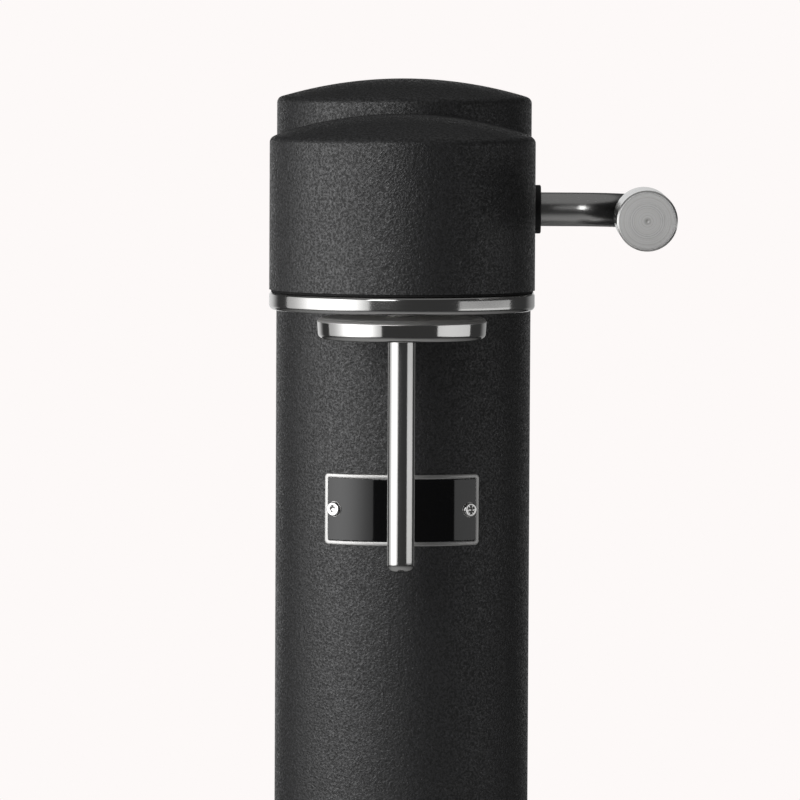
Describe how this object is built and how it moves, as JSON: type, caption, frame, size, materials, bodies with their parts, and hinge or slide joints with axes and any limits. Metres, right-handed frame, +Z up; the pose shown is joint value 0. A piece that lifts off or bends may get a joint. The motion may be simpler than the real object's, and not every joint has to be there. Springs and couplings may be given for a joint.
{
  "type": "soda carbonator",
  "caption": "Countertop water carbonator: black column with a cantilevered head, side lever, tilting bottle holder with gas nozzle, drip tray and a gas cylinder inside.",
  "frame": {"origin": "centre of the base's footprint on the surface it stands on", "axes": "+Z up; the front with nozzle and tray faces -Y; the lever is on the +X side"},
  "size_m": [0.1534, 0.2591, 0.414],
  "materials": {
    "powder_coat": "fine textured matte black powder coat on sheet steel",
    "base_coat": "fine textured matte black powder coat on cast aluminium",
    "polished_steel": "mirror polished stainless steel",
    "satin_steel": "satin polished stainless steel",
    "turned_steel": "polished side, circular turned end face",
    "sheet_steel": "zinc plated sheet",
    "machined_steel": "machined, plain",
    "spring_steel": "drawn wire",
    "black_rubber": "matte",
    "silicone": "translucent white silicone",
    "black_plastic": "fine moulded grain",
    "black_enamel": "gloss enamel fill, bare of lettering",
    "brass": "machined, plain",
    "cylinder_paint": "satin extruded aluminium",
    "cap_red": "gloss"
  },
  "bodies": {
    "frame": {"column_shell": "powder_coat", "head_shell": "powder_coat", "head_gasket": "black_rubber", "head_trim": "polished_steel", "head_floor": "satin_steel", "chassis": "sheet_steel", "chassis_brackets": "sheet_steel", "chassis_screws": "machined_steel", "lever_bushing": "black_plastic", "shaft_bushing": "black_plastic", "rocker_pin": "machined_steel", "valve_block": "brass", "block_screws": "machined_steel", "cylinder_seal": "black_rubber", "relief_valve": "brass", "relief_cap": "cap_red", "pin_spring": "spring_steel", "holder_yoke": "brass", "yoke_screws": "machined_steel", "holder_pin": "machined_steel", "nameplate": "polished_steel", "nameplate_field": "black_enamel", "nameplate_screws": "polished_steel", "base": "base_coat", "base_sole": "black_rubber", "column_foot": "black_plastic", "base_screws": "machined_steel", "cylinder_guide_1": "black_plastic", "cylinder_guide_2": "black_plastic", "gas_pipe": "machined_steel", "union_nuts": "brass"},
    "lever": {"lever_rod": "satin_steel", "lever_grip": "turned_steel", "lever_cam": "machined_steel", "shaft_clip": "spring_steel"},
    "rocker": {"rocker_arm": "machined_steel"},
    "pin": {"push_pin": "machined_steel"},
    "holder": {"bottle_holder": "polished_steel", "bottle_seal": "silicone", "nozzle_tube": "satin_steel"},
    "cylinder": {"tank_body": "cylinder_paint", "tank_valve": "brass"},
    "core": {"tank_core_pin": "machined_steel"},
    "tray": {"drip_tray": "polished_steel"}
  },
  "joints": [
    {"name": "lever_turn", "type": "hinge", "parent": "frame", "child": "lever", "pos_m": [0, -0.025, 0.3644], "axis": [1, 0, 0], "range_deg": [0, 50], "stiffness_Nm_per_rad": 0.6, "springref_deg": -34.38},
    {"name": "rocker_tilt", "type": "hinge", "parent": "frame", "child": "rocker", "pos_m": [0, 0.035, 0.37625], "axis": [1, 0, 0], "range_deg": [-3.7, 0]},
    {"name": "push_pin_slide", "type": "slide", "parent": "frame", "child": "pin", "axis": [0, 0, -1], "range_m": [0, 0.0026], "deforming": ["pin_spring"]},
    {"name": "core_pin_slide", "type": "slide", "parent": "cylinder", "child": "core", "axis": [0, 0, -1], "range_m": [0, 0.0026]},
    {"name": "holder_tilt", "type": "hinge", "parent": "frame", "child": "holder", "pos_m": [0, -0.075, 0.338], "axis": [-1, 0, 0], "range_deg": [0, 20]},
    {"name": "cylinder_slide", "type": "slide", "parent": "frame", "child": "cylinder", "axis": [0, 0, -1], "range_m": [0, 0.36]},
    {"name": "tray_lift", "type": "slide", "parent": "frame", "child": "tray", "axis": [0, 0, 1], "range_m": [0, 0.06]}
  ],
  "couplings": [
    {"joint": "rocker_tilt", "follows": "lever_turn", "ratio": -0.073548},
    {"joint": "push_pin_slide", "follows": "lever_turn", "m_per_rad": 0.0029794},
    {"joint": "core_pin_slide", "follows": "lever_turn", "m_per_rad": 0.0029794}
  ]
}
